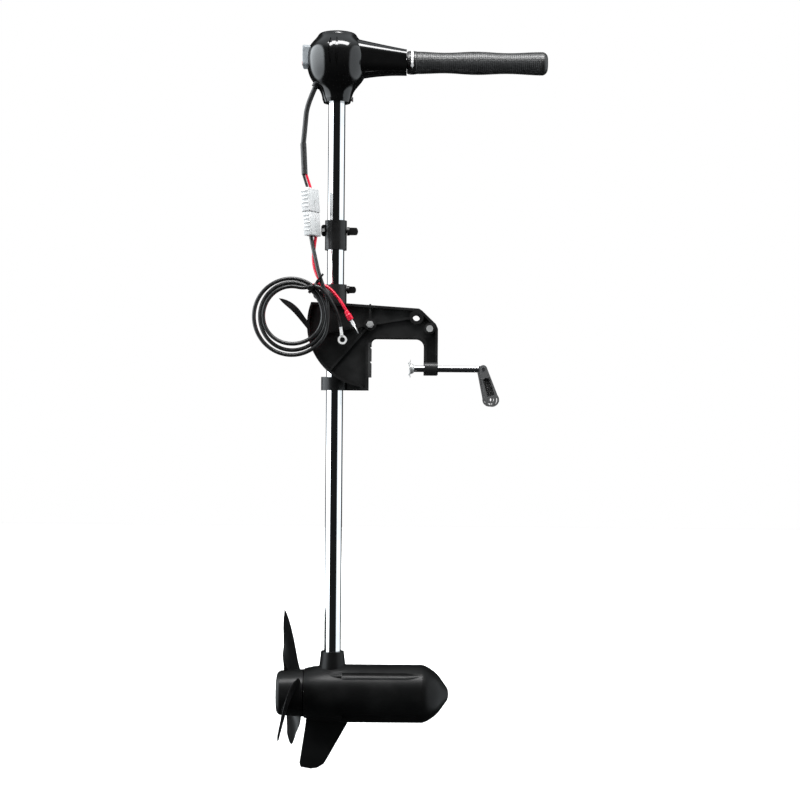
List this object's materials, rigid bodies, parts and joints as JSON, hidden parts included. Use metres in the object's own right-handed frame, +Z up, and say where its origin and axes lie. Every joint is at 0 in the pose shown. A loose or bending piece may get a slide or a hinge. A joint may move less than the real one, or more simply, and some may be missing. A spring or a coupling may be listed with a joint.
{
  "type": "trolling motor",
  "caption": "Transom-clamped electric outboard: tiller head on a steel shaft, swivel and tilt bracket with clamp screws, and a submerged motor pod with propeller.",
  "frame": {"origin": "on the face of the transom pad that bears on the boat, at the mid-plane and level with the clamp jaw's seat", "axes": "+X out of the pad towards the boat, +Z up the shaft, +Y across the transom"},
  "size_m": [0.4859, 0.2354, 1.2135],
  "materials": {
    "black_plastic": "moulded, glass filled",
    "gloss_black": "glossy moulded",
    "pod_paint": "satin black paint",
    "pad_grey": "textured",
    "bright_steel": "polished stainless",
    "zinc": "zinc plated",
    "nylon": "plain",
    "grip_rubber": "fine grid texture",
    "gauge_grey": "satin",
    "lens": "clear",
    "button_red": "plain",
    "board_green": "solder mask",
    "switch_body": "plain",
    "ferrite": "plain",
    "carbon": "plain",
    "copper": "plain",
    "black_cable": "PVC",
    "red_cable": "PVC"
  },
  "bodies": {
    "bracket": {"bracket_side_near": "black_plastic", "bracket_side_far": "black_plastic", "bracket_back_plate": "black_plastic", "transom_pad": "pad_grey", "pivot_bolt": "zinc", "bracket_bolt_and_spacer": "zinc"},
    "swivel": {"swivel_frame": "black_plastic", "swivel_pinch_bolt": "zinc", "lever_pin": "zinc"},
    "tension_screw": {"tension_knob": "black_plastic"},
    "lever": {"tilt_lever": "black_plastic"},
    "lock": {"lock_pin": "zinc"},
    "bushes": {"upper_bush": "nylon", "lower_bush": "nylon"},
    "shaft": {"shaft_tube": "bright_steel", "head_cover": "gloss_black", "head_housing": "gloss_black", "head_screws": "zinc", "gauge_housing": "gauge_grey", "gauge_lens": "lens", "gauge_board": "board_green", "speed_switch": "switch_body", "cable_gland": "black_plastic", "rear_housing": "pod_paint", "motor_can": "pod_paint", "nose_cone": "pod_paint", "magnets": "ferrite", "through_bolts": "zinc", "rear_seal": "switch_body", "bearings": "zinc", "brushes": "carbon", "motor_leads": "copper", "main_lead": "black_cable", "heat_shrink": "black_cable", "short_wires": "black_cable", "connector_upper": "gauge_grey", "connector_lower": "gauge_grey", "black_wire": "black_cable", "red_wire": "red_cable", "cable_coil": "black_cable", "black_tail": "black_cable", "red_tail": "red_cable", "ring_terminals": "zinc"},
    "rotor": {"propeller": "gloss_black", "prop_nut": "zinc", "motor_shaft_and_pin": "zinc", "armature_and_commutator": "zinc"},
    "depth_stop": {"depth_collar": "black_plastic", "depth_collar_bolt": "zinc"},
    "depth_screw": {"depth_knob": "black_plastic"},
    "tiller": {"tiller_tube": "zinc"},
    "grip": {"grip_sleeve": "grip_rubber", "speed_ring": "nylon"},
    "button": {"test_button": "button_red"},
    "foot_near": {"clamp_foot_near": "zinc"},
    "screw_near": {"clamp_screw_near": "bright_steel"},
    "crank_near": {"clamp_crank_near": "pad_grey"},
    "foot_far": {"clamp_foot_far": "zinc"},
    "screw_far": {"clamp_screw_far": "bright_steel"},
    "crank_far": {"clamp_crank_far": "pad_grey"}
  },
  "joints": [
    {"name": "tilt", "type": "hinge", "parent": "bracket", "child": "swivel", "pos_m": [-0.0018, 0, 0.0215], "axis": [0, 1, 0], "range_deg": [0, 90]},
    {"name": "tension_turn", "type": "hinge", "parent": "swivel", "child": "tension_screw", "pos_m": [-0.04, 0, 0.08], "axis": [1, 0, 0], "range_deg": [-45, 360]},
    {"name": "lever_press", "type": "hinge", "parent": "swivel", "child": "lever", "pos_m": [-0.086, 0, 0.022], "axis": [0, 1, 0], "range_deg": [-4, 0]},
    {"name": "lock_slide", "type": "slide", "parent": "swivel", "child": "lock", "axis": [-0.2588, 0, -0.9659], "range_m": [0, 0.005]},
    {"name": "steer", "type": "hinge", "parent": "swivel", "child": "bushes", "pos_m": [-0.06, 0, 0], "axis": [0, 0, 1], "range_deg": [-180, 180], "deforming": ["main_lead", "heat_shrink", "short_wires", "connector_upper", "connector_lower", "black_wire", "red_wire", "cable_coil", "black_tail", "red_tail", "ring_terminals"]},
    {"name": "depth", "type": "slide", "parent": "bushes", "child": "shaft", "axis": [0, 0, 1], "range_m": [-0.055, 0.35]},
    {"name": "prop_spin", "type": "hinge", "parent": "shaft", "child": "rotor", "pos_m": [-0.12, 0, -0.5854], "axis": [1, 0, 0], "continuous": true},
    {"name": "stop_slide", "type": "slide", "parent": "shaft", "child": "depth_stop", "axis": [0, 0, 1], "range_m": [0, 0.15]},
    {"name": "stop_turn", "type": "hinge", "parent": "depth_stop", "child": "depth_screw", "pos_m": [-0.04, 0, 0.1764], "axis": [1, 0, 0], "range_deg": [-45, 360]},
    {"name": "tiller_slide", "type": "slide", "parent": "shaft", "child": "tiller", "axis": [1, 0, 0], "range_m": [0, 0.08]},
    {"name": "speed_twist", "type": "hinge", "parent": "tiller", "child": "grip", "pos_m": [0.1, 0, 0.4555], "axis": [1, 0, 0], "range_deg": [-75, 125]},
    {"name": "test_press", "type": "slide", "parent": "shaft", "child": "button", "axis": [1, 0, 0], "range_m": [0, 0.0015], "stiffness_N_per_m": 300},
    {"name": "clamp_travel_near", "type": "slide", "parent": "bracket", "child": "foot_near", "axis": [-1, 0, 0], "range_m": [-0.008, 0.048]},
    {"name": "clamp_turn_near", "type": "hinge", "parent": "foot_near", "child": "screw_near", "pos_m": [0.1, -0.038, -0.0495], "axis": [-1, 0, 0], "range_deg": [-720, 4320]},
    {"name": "crank_flip_near", "type": "hinge", "parent": "screw_near", "child": "crank_near", "pos_m": [0.1828, -0.038, -0.0495], "axis": [0, -1, 0], "range_deg": [0, 147]},
    {"name": "clamp_travel_far", "type": "slide", "parent": "bracket", "child": "foot_far", "axis": [-1, 0, 0], "range_m": [-0.008, 0.048]},
    {"name": "clamp_turn_far", "type": "hinge", "parent": "foot_far", "child": "screw_far", "pos_m": [0.1, 0.038, -0.0495], "axis": [-1, 0, 0], "range_deg": [-720, 4320]},
    {"name": "crank_flip_far", "type": "hinge", "parent": "screw_far", "child": "crank_far", "pos_m": [0.1828, 0.038, -0.0495], "axis": [0, -1, 0], "range_deg": [0, 147]}
  ],
  "couplings": [
    {"joint": "lock_slide", "follows": "lever_press", "m_per_rad": -0.07162},
    {"joint": "clamp_travel_near", "follows": "clamp_turn_near", "m_per_rad": 0.00063662},
    {"joint": "clamp_travel_far", "follows": "clamp_turn_far", "m_per_rad": 0.00063662}
  ]
}
